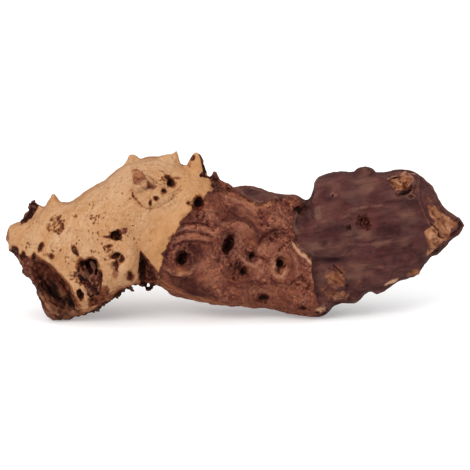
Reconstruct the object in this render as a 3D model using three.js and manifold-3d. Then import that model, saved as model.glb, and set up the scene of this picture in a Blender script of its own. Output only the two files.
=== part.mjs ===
// A mopani driftwood root: one grown piece of wood, sand-blasted clean, standing on two worn feet.
// Millimetres, +Z up, -Y is the side with the knots, +X runs from the pale block to the dark split end.
import * as THREE from "three";
import { mergeVertices } from "three/addons/utils/BufferGeometryUtils.js";
import Module from "manifold-3d";

const wasm = await Module();
wasm.setup();

// Driving dimensions
const LEFT_TIP = -172.5;
const RIGHT_TIP = 172.5;
const TIP_HEIGHT = { left: 58.5, right: 68.5 };
const RINGS = 84;
const SIDES = 32;
const BELT = 0.44; // where a section is deepest, as a share of its height
const SQUARENESS = 2.5; // superellipse power of a section: 2 is round, more is boxier
const SWAY = 4; // how far the middle line wanders to the front and back
const SWAY_LENGTH = 48; // wavelength of that, over 2 pi
const LUMP = 0.035; // depth of the slow lumps, as a share of a section's size
const LUMP_LENGTH = { skin: 17, twist: 31 }; // wavelengths of the slow lumps, over 2 pi
const IN_FRONT = -90; // a y well in front of the root, where cuts begin
const FLOOR = { wide: 600, deep: 400, thick: 100 };

// Features of the front are measured on a sheet seen from VIEW_TILT above level: u to the right, v up.
const VIEW_TILT = THREE.MathUtils.degToRad(12);
const VIEW_DISTANCE = 1300;
const VIEW_CENTRE = new THREE.Vector3(0, 0, 61.4);
const VIEW_CENTRE_V = 63.75;

// Crest of the root along its length, without its spikes and nubs: [x, z]
const CREST = [
  [LEFT_TIP, TIP_HEIGHT.left], [-170, 66.5], [-166, 69.8], [-158, 71], [-150, 75], [-144, 81], [-136, 85],
  [-130, 86.5], [-124, 85.5], [-117, 90], [-110, 95.3], [-100, 100.5], [-90, 109], [-80, 116], [-72, 118.5],
  [-60, 120.2], [-50, 118], [-40, 114.5], [-30, 110.5], [-22, 106], [-12, 99.5], [-4, 95.4], [4, 97.3],
  [12, 96.6], [20, 94.2], [35, 91], [48, 89.4], [55, 85], [57.5, 88], [60, 100], [65, 105.4], [71, 107.3],
  [85, 108.3], [97, 108.6], [110, 108.3], [122, 110.3], [132, 109.8], [138, 106.6], [144, 102], [149, 96],
  [153, 86.3], [158, 81], [165, 75.7], [170, 72], [RIGHT_TIP, TIP_HEIGHT.right],
];

// Underside along its length, below the floor where the root stands and arched between its feet: [x, z]
const UNDERSIDE = [
  [LEFT_TIP, TIP_HEIGHT.left], [-170, 55.5], [-167, 52.5], [-163, 47], [-159, 40.5], [-156, 32.5], [-149, 25],
  [-145, 13], [-141, 1.5], [-136, -2.4], [-131, -3], [-126, -2], [-118, 1.8], [-108, 5.3], [-98, 10.5],
  [-88, 19.5], [-80, 25.5], [-70, 28.5], [-58, 25.5], [-50, 20.2], [-40, 14.8], [-30, 12.4], [-15, 9.3],
  [0, 8], [15, 6.6], [30, 4.6], [42, 1.6], [52, -0.4], [64, -1.4], [70, 1], [74, 7], [80, 9.4], [88, 9.2],
  [92, 9.2], [96, 14.8], [100, 18.7], [108, 16.8], [117, 22.8], [128, 28.4], [137, 30.5], [142, 37.5],
  [146, 43.4], [152, 46.3], [158, 51.7], [164, 57.6], [170, 63.5], [RIGHT_TIP, TIP_HEIGHT.right],
];

// Depth of the knotted front and of the back, away from the middle line: [x, depth]
const FRONT_DEPTH = [
  [LEFT_TIP, 0], [-170, 9], [-165, 16], [-155, 25], [-140, 34], [-125, 40], [-105, 45], [-85, 46], [-65, 42],
  [-45, 41], [-20, 40], [0, 39], [20, 38], [40, 37], [60, 35], [80, 31], [100, 28], [120, 24], [140, 17],
  [155, 10], [165, 6], [170, 3.5], [RIGHT_TIP, 0],
];
const BACK_DEPTH = [
  [LEFT_TIP, 0], [-170, 8], [-165, 14], [-150, 24], [-130, 34], [-110, 42], [-90, 46], [-70, 44], [-45, 39],
  [-20, 40], [0, 44], [25, 41], [50, 34], [75, 31], [100, 29], [125, 23], [145, 15], [160, 8], [170, 3.5],
  [RIGHT_TIP, 0],
];

// Swellings of the skin: [x, z, reach along x, reach along z, how far out]
const FRONT_SWELLINGS = [
  [-62, 97, 17, 12, 5], [-79, 42, 10, 14, 5], [-138, 62, 16, 14, 3], [-8, 50, 16, 18, 2.5],
  [30, 34, 14, 14, 2.5], [-118, 66, 16, 12, -2],
];
const BACK_SWELLINGS = [
  [-104, 66, 20, 15, 7], [-42, 38, 20, 16, 7], [18, 68, 18, 13, 7], [82, 56, 22, 12, 5],
  [-146, 44, 11, 12, 3], [-66, 92, 18, 10, 4], [-12, 34, 12, 12, -5], [52, 40, 14, 12, -5],
  [-76, 50, 12, 18, -6], [118, 76, 14, 12, -4],
];

// Long flutes of the back between the old root strands: [angle, wander, share of the depth, half width]
const FLUTES = [
  [0.75, 0.16, 0.13, 0.16],
  [0.12, 0.2, 0.12, 0.15],
  [-0.6, 0.18, 0.16, 0.2],
];

// A smooth line through [x, value] points.
function line(points) {
  const through = new THREE.CubicInterpolant(points.map((p) => p[0]), points.map((p) => p[1]), 1, [0]);
  return (x) => through.evaluate(THREE.MathUtils.clamp(x, LEFT_TIP, RIGHT_TIP))[0];
}

const crest = line(CREST);
const underside = line(UNDERSIDE);
const frontDepth = line(FRONT_DEPTH);
const backDepth = line(BACK_DEPTH);
const alongside = (x) => (x - LEFT_TIP) / (RIGHT_TIP - LEFT_TIP);
const middle = (x) => SWAY * Math.sin(x / SWAY_LENGTH + 0.6) * Math.sin(Math.PI * alongside(x));
const belt = (x) => underside(x) + BELT * (crest(x) - underside(x));
const gauss = (value) => Math.exp(-value * value);

function swelling(table, x, z) {
  return table.reduce((sum, [atX, atZ, wide, tall, out]) => {
    return sum + out * gauss((x - atX) / wide) * gauss((z - atZ) / tall);
  }, 0);
}

function fluting(x, angle) {
  return FLUTES.reduce((left, [at, wander, share, half], i) => {
    return left * (1 - share * gauss((angle - at - wander * Math.sin(x / 37 + 2 * i)) / half));
  }, 1);
}

// A point of the skin at length x and at an angle round the section: 0 at the back, a quarter turn up.
function skin(x, angle) {
  const power = (value) => Math.sign(value) * Math.abs(value) ** (2 / SQUARENESS);
  const across = power(Math.cos(angle));
  const up = power(Math.sin(angle));
  const back = across > 0;
  const ripple = Math.sin(x / LUMP_LENGTH.skin + 2 * angle) * Math.cos(3 * angle - x / LUMP_LENGTH.twist);
  const lumps = 1 + LUMP * (ripple - 0.3);
  const depth = back ? backDepth(x) * fluting(x, angle) : frontDepth(x);
  const height = up > 0 ? crest(x) - belt(x) : belt(x) - underside(x);
  const z = belt(x) + up * height;
  const out = Math.min(1, 2 * Math.abs(across)) * swelling(back ? BACK_SWELLINGS : FRONT_SWELLINGS, x, z);
  return new THREE.Vector3(x, middle(x) + across * depth * lumps + Math.sign(across) * out, z);
}

// How far the section at length x reaches from the middle line at height z, as a share of its depth.
function reach(x, z) {
  const height = z > belt(x) ? crest(x) - belt(x) : belt(x) - underside(x);
  const share = Math.min(0.995, Math.abs(z - belt(x)) / height);
  return (1 - share ** SQUARENESS) ** (1 / SQUARENESS);
}

const frontFace = (x, z) => middle(x) - frontDepth(x) * reach(x, z) - swelling(FRONT_SWELLINGS, x, z);
const backFace = (x, z) => middle(x) + backDepth(x) * reach(x, z) + swelling(BACK_SWELLINGS, x, z);

// The flat dark end lies on a plane a few millimetres behind the knotted layer.
const SLAB_START = 43;
const SLAB_Y = -29.5;
const SLAB_SLANT = 0.12;
const slabPlane = (x) => SLAB_Y + SLAB_SLANT * (x - SLAB_START);
const slabFace = (x, z) => Math.max(frontFace(x, z), slabPlane(x));

// The point behind (u, v) of the sheet, a depth behind the view's centre.
function sight(u, v, depth) {
  const nearer = 1 + depth / VIEW_DISTANCE;
  const up = (v - VIEW_CENTRE_V) * nearer;
  return new THREE.Vector3(
    VIEW_CENTRE.x + u * nearer,
    VIEW_CENTRE.y + up * Math.sin(VIEW_TILT) + depth * Math.cos(VIEW_TILT),
    VIEW_CENTRE.z + up * Math.cos(VIEW_TILT) - depth * Math.sin(VIEW_TILT),
  );
}

// The point behind (u, v) of the sheet on a face given as y of x and z.
function seen(u, v, face = frontFace) {
  let depth = -30;
  for (let step = 0; step < 20; step++) {
    const point = sight(u, v, depth);
    depth += 0.6 * (face(point.x, point.z) - point.y);
  }
  return sight(u, v, depth);
}

// Closed three.js geometry to a solid that can be joined and cut, and back.
function solid(geometry) {
  const bare = geometry.clone();
  bare.deleteAttribute("normal");
  bare.deleteAttribute("uv");
  const merged = mergeVertices(bare, 1e-4);
  return new wasm.Manifold(
    new wasm.Mesh({
      numProp: 3,
      vertProperties: merged.getAttribute("position").array,
      triVerts: new Uint32Array(merged.index.array),
    }),
  );
}

function geometryOf(made) {
  const mesh = made.getMesh();
  const geometry = new THREE.BufferGeometry();
  geometry.setAttribute("position", new THREE.BufferAttribute(new Float32Array(mesh.vertProperties), 3));
  geometry.setIndex(new THREE.BufferAttribute(new Uint32Array(mesh.triVerts), 1));
  return geometry;
}

// The trunk of the root: a sphere with its poles at the two tips, pulled out to the skin.
function trunk() {
  const ball = new THREE.SphereGeometry(1, SIDES, RINGS).rotateZ(Math.PI / 2);
  const place = ball.getAttribute("position");
  for (let i = 0; i < place.count; i++) {
    const at = new THREE.Vector3().fromBufferAttribute(place, i);
    const along = 0.5 + Math.asin(THREE.MathUtils.clamp(at.x, -1, 1)) / Math.PI;
    const point = skin(THREE.MathUtils.lerp(LEFT_TIP, RIGHT_TIP, along), Math.atan2(at.z, at.y));
    place.setXYZ(i, point.x, point.y, point.z);
  }
  return solid(ball);
}

// A blunt spike or nub from its root point to its tip.
function spike(root, tip, rootRadius, tipRadius) {
  const length = root.distanceTo(tip);
  const profile = [
    [0, 0], [rootRadius, 0], [0.55 * rootRadius + 0.45 * tipRadius, 0.45 * length],
    [tipRadius, length - tipRadius], [0.7 * tipRadius, length - 0.3 * tipRadius], [0, length],
  ];
  const turned = new THREE.LatheGeometry(profile.map((p) => new THREE.Vector2(...p)), 9);
  const lean = new THREE.Quaternion().setFromUnitVectors(
    new THREE.Vector3(0, 1, 0),
    tip.clone().sub(root).normalize(),
  );
  return solid(turned.applyQuaternion(lean).translate(root.x, root.y, root.z));
}

// An egg of wood or of air, wide along x, deep along y and tall along z, its top turned to the right.
function egg(centre, wide, deep, tall, turnDegrees = 0) {
  const ball = new THREE.IcosahedronGeometry(1, 1).scale(wide / 2, deep / 2, tall / 2);
  ball.rotateY(THREE.MathUtils.degToRad(turnDegrees));
  return solid(ball.translate(centre.x, centre.y, centre.z));
}

// A thin root along a line of points.
function rootlet(points, radius) {
  const path = new THREE.CatmullRomCurve3(points.map((p) => new THREE.Vector3(...p)));
  const section = new THREE.Shape();
  section.absarc(0, 0, radius, 0, 2 * Math.PI);
  const steps = Math.max(3, Math.round(path.getLength() / (2.5 * radius)));
  return solid(new THREE.ExtrudeGeometry(section, { steps, extrudePath: path, curveSegments: 6 }));
}

// A block of air behind an outline on the sheet, from in front of the root back to a face: y of u and v.
function splitAway(outline, farFace) {
  const shape = new THREE.Shape(outline.map((p) => new THREE.Vector2(...p)));
  const block = new THREE.ExtrudeGeometry(shape, { depth: 1, bevelEnabled: false });
  const place = block.getAttribute("position");
  for (let i = 0; i < place.count; i++) {
    const [u, v, near] = [place.getX(i), place.getY(i), place.getZ(i) > 0.5];
    const point = seen(u, v, () => (near ? IN_FRONT : farFace(u, v)));
    place.setXYZ(i, point.x, point.y, point.z);
  }
  return solid(block);
}

// Burl spikes and nubs along the crest and the broken spur of the knot: [root, tip, root radius, tip radius]
const SPIKES = [
  [[-134, 0, 72], [-135.6, -2, 93.6], 13, 2],
  [[-146, 3, 66], [-147, 3, 84.5], 7, 2.5],
  [[-76, 2, 106], [-76, 1, 122.8], 10, 4.2],
  [[-49.5, 2, 104], [-43.2, 2, 125], 11.5, 1.8],
  [[-29.5, -2, 100], [-28.8, -3, 125], 11, 4.8],
  [[-13, 3, 92], [-15.6, 3, 109.3], 6, 2.8],
];
const SPUR = { root: [-68, 99], tip: [-74, 112.5], out: 9.5, rootRadius: 8.5, tipRadius: 2.6 };

// Round lumps: [x, y, z, wide, deep, tall]
const LUMPS = [
  [-9.5, 2, 97, 14, 18, 9],
  [-50, 2, 116.5, 16, 18, 12],
  [96.5, 0, 107.5, 17, 18, 12],
  [-151.5, 5, 80.5, 7, 12, 12],
  [-156, 4, 73.5, 7, 12, 9],
  [-165.5, -4, 52.5, 8, 14, 8],
  [-154.5, -5, 35, 9, 20, 12],
];

// Lobes at the foot of the dark end, on the sheet: [u, v, out, wide, deep, tall, turn]
const SLAB_LOBES = [
  [75, 26, -7, 20, 22, 27, 0],
  [90.5, 18, -9, 11, 24, 14, 0],
];

function growths() {
  const spurTip = seen(...SPUR.tip);
  spurTip.y -= SPUR.out;
  const lobes = SLAB_LOBES.map(([u, v, out, ...size]) => {
    const centre = seen(u, v, slabFace);
    centre.y -= out;
    return egg(centre, ...size);
  });
  return [
    ...SPIKES.map(([root, tip, ...radii]) => {
      return spike(new THREE.Vector3(...root), new THREE.Vector3(...tip), ...radii);
    }),
    ...LUMPS.map(([x, y, z, ...size]) => egg(new THREE.Vector3(x, y, z), ...size)),
    spike(seen(...SPUR.root), spurTip, SPUR.rootRadius, SPUR.tipRadius),
    ...lobes,
  ];
}

// Knot holes and hollows of the front, on the sheet: [u, v, wide, deep, tall, turn]
const KNOT_HOLES = [
  [-137.5, 23, 25, 48, 54, -38],
  [-140.5, 31, 17, 34, 26, -50],
  [-119.5, 52, 4.5, 14, 9, -25],
  [-109, 36, 17, 26, 22, 0],
  [-115, 18.5, 6, 14, 9, -10],
  [-89.5, 62.5, 9, 16, 8, 0],
  [-88, 47.5, 10, 12, 6, 0],
  [-90, 39.5, 6.5, 12, 9, 0],
  [-79.5, 34, 7, 9, 8, 0],
  [-48, 103, 7, 12, 7, 0],
  [-54, 96.5, 5, 9, 5, 0],
  [-28, 88, 8, 16, 8, 0],
  [-39.5, 46.5, 10, 20, 12, 0],
  [-5, 57, 8, 18, 18, 16],
  [12, 48, 6, 14, 7, 0],
  [6.5, 37, 7.5, 14, 7, 0],
  [34, 43, 9, 16, 10, 25],
  [21, 17, 8, 12, 7, 0],
  [47, 82, 8.5, 14, 7.5, 0],
];
const SLAB_HOLES = [
  [72.5, 92, 4.5, 10, 4.5, 0],
  [85, 69.5, 4.5, 14, 5, 0],
  [97, 73, 8, 10, 9, 0],
  [125, 102.5, 21, 14, 14, 8],
];

// Holes of the back: [x, z, wide, deep, tall, turn]
const BACK_HOLES = [
  [-52, 78, 24, 18, 15, 40],
  [36, 36, 26, 18, 12, -70],
  [-126, 48, 12, 18, 20, 10],
  [96, 82, 20, 12, 11, 60],
  [2, 78, 9, 14, 9, 0],
  [-90, 38, 10, 14, 13, 0],
  [66, 66, 7, 12, 8, 0],
];

// Outlines on the sheet of faces where layers split away: the dark end, the step above the knots, the
// wedge-shaped notch and the valley beside the dark end
const SPLIT_END = [
  [43, 60], [46, 55], [52, 49], [56.5, 45], [57.5, 36], [60, 25], [62, 10], [63, -10], [195, -10], [195, 130],
  [55, 130], [54, 90], [50, 88], [44, 80], [42.5, 70],
];
const UPPER_STEP = [[0, 97], [8, 92], [18, 86], [28, 89], [40, 91], [48, 92], [54, 96], [54, 130], [-2, 130]];
const NOTCH = [[-70.5, 51], [-61, 36], [-56, 27], [-60, 12], [-70, 12], [-72.5, 31]];
const VALLEY = [[57.5, 45], [64, 46], [70, 40], [69, 26], [70, 14], [62, 8], [60, 22], [58, 34]];

// How far back each of those cuts goes: y at a point of the sheet, and its lean to the right and above it
const UPPER_STEP_FACE = { y: -21, u: 0, v: 88, leanRight: 0, leanUp: 1.1 };
const NOTCH_FACE = { y: -24, u: 0, v: 0, leanRight: 0, leanUp: 0 };
const VALLEY_FACE = { y: -23.5, u: 58, v: 0, leanRight: -0.3, leanUp: 0 };

function losses() {
  const leaning = (face) => (u, v) => face.y + face.leanRight * (u - face.u) + face.leanUp * (v - face.v);
  return [
    splitAway(SPLIT_END, slabPlane),
    splitAway(UPPER_STEP, leaning(UPPER_STEP_FACE)),
    splitAway(NOTCH, leaning(NOTCH_FACE)),
    splitAway(VALLEY, leaning(VALLEY_FACE)),
    ...KNOT_HOLES.map(([u, v, ...size]) => egg(seen(u, v), ...size)),
    ...SLAB_HOLES.map(([u, v, ...size]) => egg(seen(u, v, slabFace), ...size)),
    ...BACK_HOLES.map(([x, z, ...size]) => egg(new THREE.Vector3(x, backFace(x, z), z), ...size)),
  ];
}

// Thin roots: a fringe under the arch, and broken twigs left in the front hollow
const FRINGE_RADIUS = 1.5;
const FRINGE = [
  [[-90, -16, 26], [-87, -18, 21.5], [-84, -20, 19]],
  [[-82, -14, 30], [-79, -17, 25], [-75, -19, 22]],
  [[-76, -12, 33], [-73, -15, 28], [-70, -12, 25]],
  [[-70, -14, 32], [-67.5, -17, 26], [-64.5, -18, 22.5], [-61, -17, 25], [-59, -14, 30]],
  [[-97, -14, 20], [-94, -17, 16], [-91, -18, 15]],
];
const TWIG_RADIUS = 2.1;
const TWIGS = [
  [[-109, -26, 27], [-105, -38, 33], [-101, -44, 41]],
  [[-113, -30, 48], [-108, -40, 44], [-104, -40, 36]],
  [[-100, -30, 28], [-102, -38, 26], [-107, -40, 24]],
];

function rootlets() {
  return [
    ...FRINGE.map((points) => rootlet(points, FRINGE_RADIUS)),
    ...TWIGS.map((points) => rootlet(points, TWIG_RADIUS)),
  ];
}

// The whole root: grown, weathered, then worn flat where it stands, its box centred over the origin.
function mopaniRoot() {
  const grown = growths().reduce((body, piece) => body.add(piece), trunk());
  const weathered = losses().reduce((body, air) => body.subtract(air), grown);
  const fringed = rootlets().reduce((body, piece) => body.add(piece), weathered);
  const floor = new THREE.BoxGeometry(FLOOR.wide, FLOOR.deep, FLOOR.thick).translate(0, 0, -FLOOR.thick / 2);
  const worn = fringed.subtract(solid(floor));
  const largest = worn.decompose().sort((a, b) => b.volume() - a.volume())[0];
  const geometry = geometryOf(largest);
  geometry.computeBoundingBox();
  const centre = geometry.boundingBox.getCenter(new THREE.Vector3());
  geometry.translate(-centre.x, -centre.y, 0);
  geometry.computeVertexNormals();
  return geometry;
}

const heartwood = new THREE.MeshStandardMaterial({ color: 0x8a5a42, roughness: 0.72, metalness: 0 });
const root = new THREE.Mesh(mopaniRoot(), heartwood);
root.name = "mopani_root";

const part = new THREE.Group();
part.add(root);
export default part;
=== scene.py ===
import math

import bmesh
import bpy
import numpy as np
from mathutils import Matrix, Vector, noise


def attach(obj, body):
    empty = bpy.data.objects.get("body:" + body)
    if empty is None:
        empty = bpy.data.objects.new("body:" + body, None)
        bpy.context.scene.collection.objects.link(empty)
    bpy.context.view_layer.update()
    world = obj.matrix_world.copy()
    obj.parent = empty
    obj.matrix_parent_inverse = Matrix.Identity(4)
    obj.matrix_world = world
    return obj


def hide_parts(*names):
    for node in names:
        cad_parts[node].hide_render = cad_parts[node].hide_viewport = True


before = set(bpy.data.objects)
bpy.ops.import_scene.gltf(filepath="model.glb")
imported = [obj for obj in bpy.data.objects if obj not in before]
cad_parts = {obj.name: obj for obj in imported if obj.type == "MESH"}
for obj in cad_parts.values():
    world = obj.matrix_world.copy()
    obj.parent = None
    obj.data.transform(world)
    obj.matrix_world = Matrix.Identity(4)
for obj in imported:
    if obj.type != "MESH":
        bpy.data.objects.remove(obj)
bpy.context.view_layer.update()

# The view of the photograph: a long lens a good step away, looking a little down on the knotted side.
# Marks of that side are laid out on this view's sheet in millimetres, u to the right and v up.
VIEW_TILT = math.radians(12)
VIEW_DISTANCE = 1.3
VIEW_CENTRE = np.array((0, 0, 0.0614))
SHEET_WIDTH = 0.3525
SHEET_CENTRE_V = 63.75
FILM_WIDTH = 36
toward_eye = np.array((0, -math.cos(VIEW_TILT), math.sin(VIEW_TILT)))
sheet_up = np.array((0, math.sin(VIEW_TILT), math.cos(VIEW_TILT)))
eye = VIEW_CENTRE + VIEW_DISTANCE * toward_eye
camera = bpy.data.objects.new("camera", bpy.data.cameras.new("camera"))
bpy.context.scene.collection.objects.link(camera)
bpy.context.scene.camera = camera
camera.data.sensor_width = FILM_WIDTH
camera.data.lens = FILM_WIDTH * VIEW_DISTANCE / SHEET_WIDTH
camera.location = eye
camera.rotation_euler = (math.pi / 2 - VIEW_TILT, 0, 0)


def on_sheet(points):
    """Where points in space show on the sheet."""
    offset = points - VIEW_CENTRE
    nearer = VIEW_DISTANCE / (VIEW_DISTANCE - offset @ toward_eye)
    across = 1000 * offset[:, 0] * nearer
    up = 1000 * (offset @ sheet_up) * nearer + SHEET_CENTRE_V
    return across, up


# The root: one grown piece of mopani, cleaned by sand so that the soft parts are worn back, the burl pips
# and rotted knots are open, and the pale sapwood lies over dark heartwood that has split into layers.
SKIN_STEP = 0.00175
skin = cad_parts["mopani_root"].data.copy()
work = bmesh.new()
work.from_mesh(skin)
bmesh.ops.remove_doubles(work, verts=work.verts, dist=1e-6)
work.to_mesh(skin)
work.free()
root = bpy.data.objects.new("driftwood", skin)
bpy.context.scene.collection.objects.link(root)
even = root.modifiers.new("even skin", "REMESH")
even.mode = "VOXEL"
even.voxel_size = SKIN_STEP
rounded = root.modifiers.new("worn edges", "SMOOTH")
rounded.factor = 0.5
rounded.iterations = 2
bpy.context.view_layer.update()
evaluated = root.evaluated_get(bpy.context.evaluated_depsgraph_get())
skin = bpy.data.meshes.new_from_object(evaluated)
root.modifiers.clear()
root.data = skin

# Faces turned to the eye by more than this get a finer skin than the rest
FINE_FROM = 0.3
work = bmesh.new()
work.from_mesh(skin)
shown = [f for f in work.faces if f.normal @ Vector(toward_eye) > FINE_FROM]
edges = list({e for f in shown for e in f.edges})
bmesh.ops.subdivide_edges(work, edges=edges, cuts=1, use_grid_fill=True)
bmesh.ops.smooth_vert(work, verts=work.verts, factor=0.5, use_axis_x=True, use_axis_y=True, use_axis_z=True)

# Broken strands of root fibre left in the crater: (u, v) on the sheet and their y, all in millimetres
STRANDS = [
    [(-121, 33, -39), (-117, 36.5, -43), (-112, 35, -38)],
    [(-117.5, 42, -37), (-116.5, 36, -43), (-112, 33.5, -40), (-112, 27, -38)],
    [(-108.5, 44, -36), (-104, 40, -43), (-106.5, 33, -40)],
    [(-114, 36, -35), (-109, 34, -43), (-108, 26, -43), (-103, 25, -40)],
    [(-102.5, 36, -40), (-100.5, 30, -44), (-103, 22, -42)],
    [(-115, 27, -40), (-110.5, 25, -45), (-107, 19.5, -43)],
]
STRAND_RADIUS = 0.0014
fibre = bpy.data.curves.new("strands", "CURVE")
fibre.dimensions = "3D"
fibre.bevel_depth = STRAND_RADIUS
fibre.bevel_resolution = 1
fibre.resolution_u = 8
fibre.use_fill_caps = True
for points in STRANDS:
    spline = fibre.splines.new("NURBS")
    spline.points.add(len(points) - 1)
    spline.use_endpoint_u = True
    for bend, (across, up, forward) in zip(spline.points, points):
        on_paper = VIEW_CENTRE + np.array((across / 1000, 0, 0)) + (up - SHEET_CENTRE_V) / 1000 * sheet_up
        reach = (forward / 1000 - eye[1]) / (on_paper[1] - eye[1])
        bend.co = (*(eye + reach * (on_paper - eye)), 1)
strands = bpy.data.objects.new("strands", fibre)
bpy.context.scene.collection.objects.link(strands)
bpy.context.view_layer.update()
evaluated = strands.evaluated_get(bpy.context.evaluated_depsgraph_get())
strand_mesh = bpy.data.meshes.new_from_object(evaluated)
bpy.data.objects.remove(strands)
root_points = len(work.verts)
work.from_mesh(strand_mesh)
work.to_mesh(skin)
work.free()
skin.shade_smooth()

# Where each point of the skin lies, in metres and as x, y and z in millimetres, which way it faces, and
# where it shows on the sheet
count = len(skin.vertices)
is_strand = np.arange(count) >= root_points
place = np.empty(count * 3)
skin.vertices.foreach_get("co", place)
place = place.reshape(-1, 3)
facing = np.empty(count * 3)
skin.vertex_normals.foreach_get("vector", facing)
facing = facing.reshape(-1, 3)
u, v = on_sheet(place)
x, y, z = (1000 * place).T


def cloud(size, seed, octaves=2):
    """Smooth noise about 0 over the skin, its lumps about size millimetres across."""
    shift = Vector((seed * 7.1, seed * 3.7, seed * 5.3))
    step = 1000 / size
    return np.array([noise.fractal(Vector(p) * step + shift, 0.9, 2.0, octaves) for p in place])


def soft(value, low, high):
    """0 below low, 1 above high, smooth between them."""
    part = np.clip((value - low) / (high - low), 0, 1)
    return part * part * (3 - 2 * part)


def spot(across, up, wide, tall, turn=0, on=(u, v)):
    """1 in the middle of an ellipse, 0 at its edge, below 0 outside; its top turns to the right.

    It lies on the sheet, or on the two directions given.
    """
    angle = math.radians(turn)
    right = (on[0] - across) * math.cos(angle) - (on[1] - up) * math.sin(angle)
    along = (on[0] - across) * math.sin(angle) + (on[1] - up) * math.cos(angle)
    return 1 - np.hypot(right / (wide / 2), along / (tall / 2))


def off_line(u0, v0, u1, v1):
    """How far each point lies from a straight line between two points of the sheet."""
    run, rise = u1 - u0, v1 - v0
    along = np.clip(((u - u0) * run + (v - v0) * rise) / (run * run + rise * rise), 0, 1)
    return np.hypot(u - u0 - along * run, v - v0 - along * rise)


FAR_AWAY = 1e9


def near_line(points, half_width):
    """1 on a broken line on the sheet, 0 half a width away from it."""
    nearest = np.full(count, FAR_AWAY)
    for (u0, v0), (u1, v1) in zip(points, points[1:]):
        nearest = np.minimum(nearest, off_line(u0, v0, u1, v1))
    return np.clip(1 - nearest / half_width, 0, 1)


def within(points, blur):
    """1 inside an outline on the sheet, 0 outside, blurred over a few millimetres at its edge."""
    inside = np.zeros(count, bool)
    nearest = np.full(count, FAR_AWAY)
    for (u0, v0), (u1, v1) in zip(points, points[1:] + points[:1]):
        crossed = (v0 > v) != (v1 > v)
        inside ^= crossed & (u < u0 + (v - v0) * (u1 - u0) / (v1 - v0 if v1 != v0 else 1e-9))
        nearest = np.minimum(nearest, off_line(u0, v0, u1, v1))
    return soft(np.where(inside, nearest, -nearest), -blur, blur)


def near_path(points, reach):
    """1 on a broken line in space, 0 a reach away from it, in millimetres."""
    nearest = np.full(count, FAR_AWAY)
    for first, last in zip(points, points[1:]):
        run = np.subtract(last, first)
        offset = 1000 * place - np.array(first)
        along = np.clip(offset @ run / (run @ run), 0, 1)
        nearest = np.minimum(nearest, np.linalg.norm(offset - along[:, None] * run, axis=1))
    return np.clip(1 - nearest / reach, 0, 1)


# Unevenness of three sizes, used for the shape and for the edges of every mark
lumps = cloud(13, 2)
crumbs = cloud(4.5, 3)
grit = cloud(1.9, 4)

# The half that the view shows, and a band along its outline above, below and at the ends, darkened and
# browned as painted shade of the edges turning away from the view
turned = -facing[:, 1]
front = 1 - (1 - soft(-y, 0, 10)) * (1 - soft(turned, -0.05, 0.2))
outline_shade = soft(0.25 - turned, 0, 0.4) * soft(turned, -0.6, -0.1)

# Where the pale sapwood ends: its edge towards the red heartwood, and the broken rim over the rotted foot
SAP_EDGE_V = (30, 36, 41, 49, 57, 66, 74, 80, 85, 94, 99, 106, 118)
SAP_EDGE_U = (-59, -57, -54, -52.5, -50, -46, -42, -37.5, -30, -21, -17, -19, -22)
RIM_U = (-172, -166, -160, -158, -149, -139, -131, -124, -118, -114.5, -113)
RIM_V = (55, 52, 48, 46.5, 48.5, 41.5, 34.5, 26, 13.5, 5, -8)
sap_edge = np.interp(v, SAP_EDGE_V, SAP_EDGE_U)
sap_front = soft(sap_edge - u + 4 * lumps + 2.5 * crumbs + 1.2 * grit, -2.2, 1.8)
rim_height = np.interp(u, RIM_U, RIM_V)
sap_front = sap_front * soft(v - rim_height + 1.2 * crumbs, -0.6, 0.8)
# On the back it ends along a wavy line, and above the foot
BACK_SAP_X = -34
BACK_SAP_Z = 24
back_edge = BACK_SAP_X + 16 * np.sin(z / 19 + 1) + 12 * lumps
sap_back = soft(back_edge - x, -3, 3) * soft(z - BACK_SAP_Z + 10 * lumps, -3, 4)
sap = front * sap_front + (1 - front) * sap_back

# The dark end, set back behind the knotted layer, and the dark wedge above the knots
END_V = (0, 11, 19, 26, 34, 41, 46, 49.5, 53, 60, 71, 80, 88, 90, 130)
END_U = (62, 61.5, 60.7, 59.2, 57.4, 57.2, 56, 51.8, 48, 44, 43, 44, 50, 57, 57)
WEDGE_U = (-3, 0.8, 9, 18, 27.5, 39, 46, 58)
WEDGE_V = (108, 95, 90, 85.5, 88.7, 90.5, 91, 94)
BACK_END_X = 50
end_front = soft(u - np.interp(v, END_V, END_U) + 1.0 * crumbs, -0.7, 0.9)
wedge = soft(v - np.interp(u, WEDGE_U, WEDGE_V) + 1.5 * crumbs, -0.8, 1)
wedge = wedge * soft(u, -4, 0) * soft(-u, -60, -52)
end_front = np.maximum(end_front, 0.85 * wedge)
end_back = soft(x - BACK_END_X + 18 * lumps, -5, 5)
end = front * end_front + (1 - front) * end_back

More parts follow.
